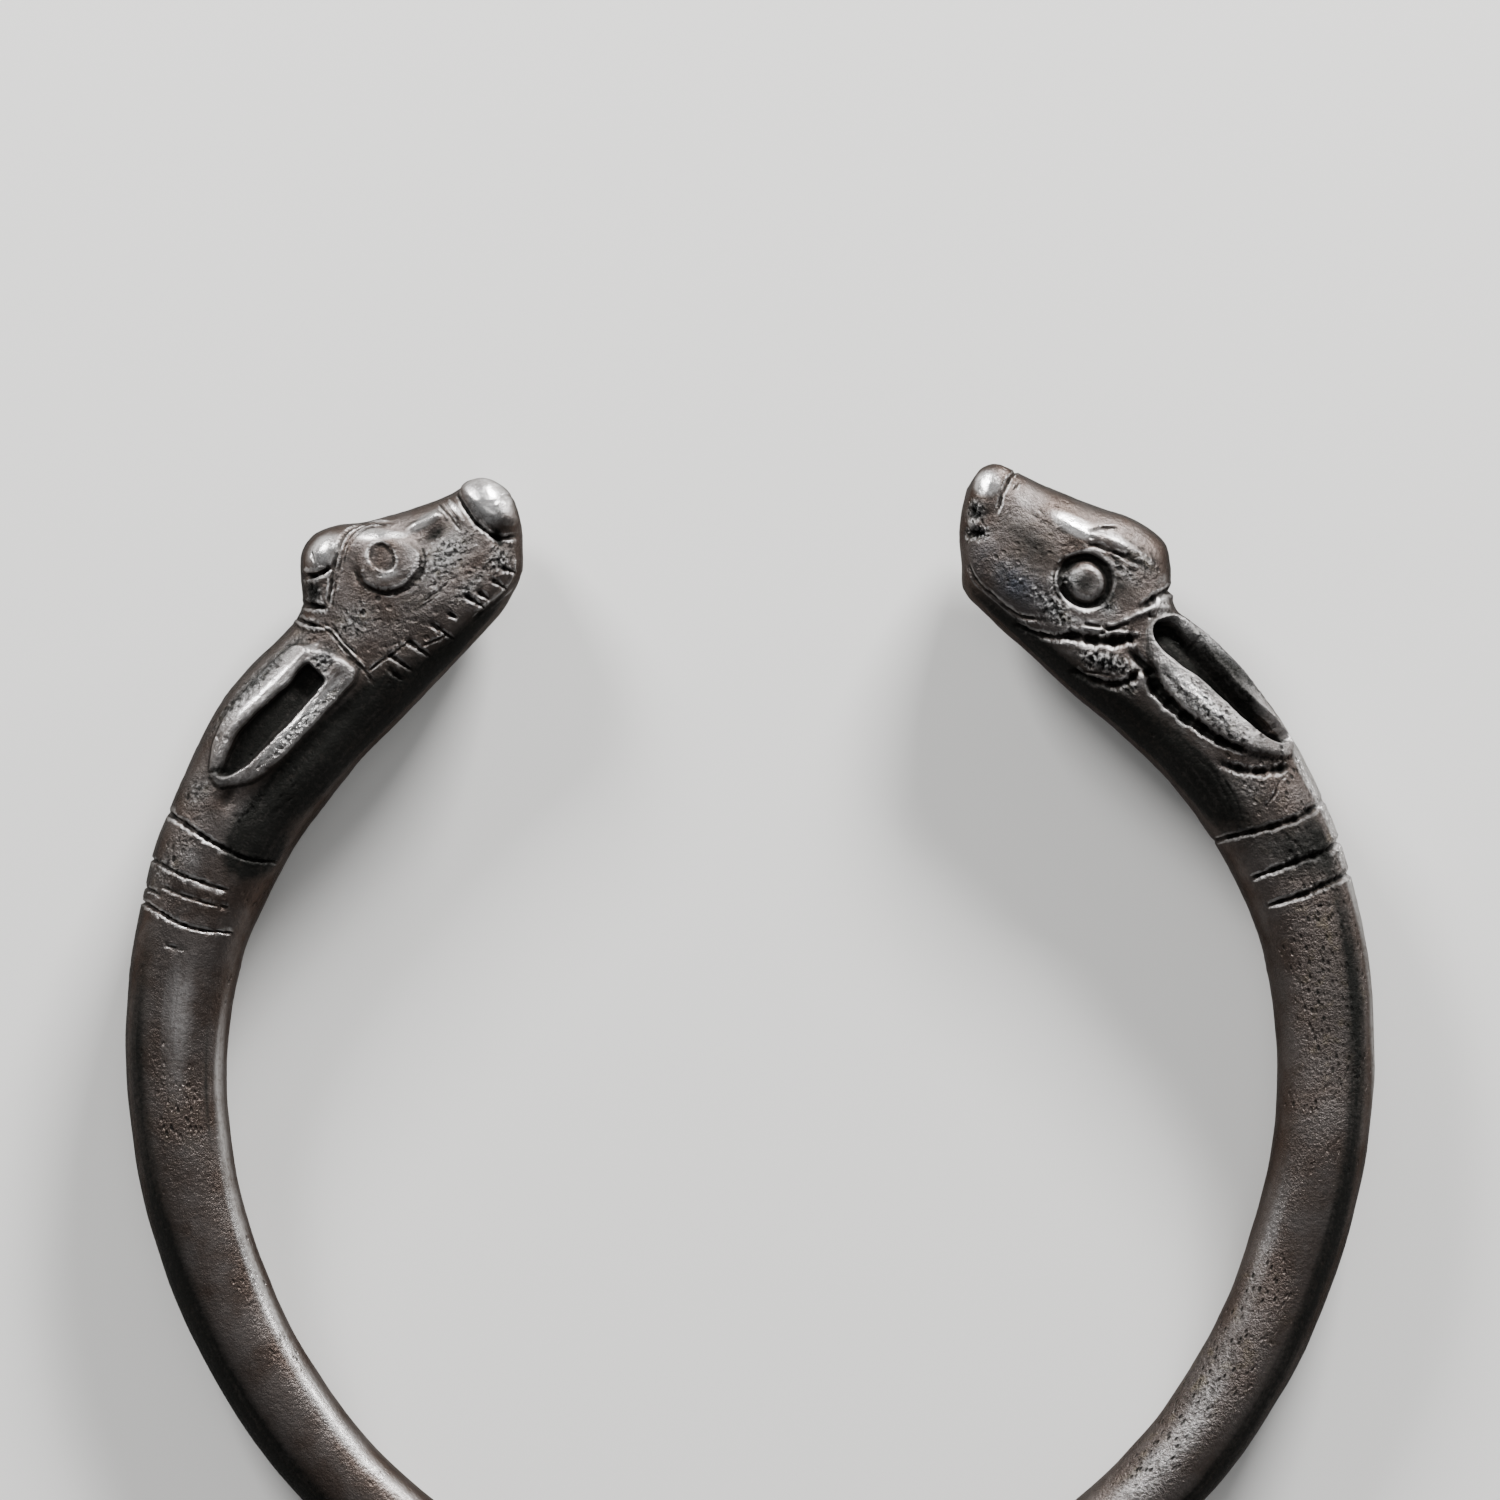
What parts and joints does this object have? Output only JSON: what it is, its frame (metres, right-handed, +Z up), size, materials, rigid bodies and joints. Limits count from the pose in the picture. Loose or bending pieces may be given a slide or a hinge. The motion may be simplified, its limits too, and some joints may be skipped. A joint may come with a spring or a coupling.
{
  "type": "open bracelet with animal-head ends",
  "caption": "Open silver bangle of round rod, swelling at both ends into long-eared calf-like heads that face each other across the gap.",
  "frame": {"origin": "centre of the bounding box's bottom face, on the surface that the bracelet lies on", "axes": "+Z up from that surface and nearly along the hoop's axis, +Y from the hoop's back towards the gap between the heads, X across the hoop"},
  "size_m": [0.07, 0.0698, 0.008],
  "materials": {
    "silver": "worn, tarnished silver with dark recesses"
  },
  "bodies": {
    "root": {"bracelet": "silver"}
  },
  "joints": []
}
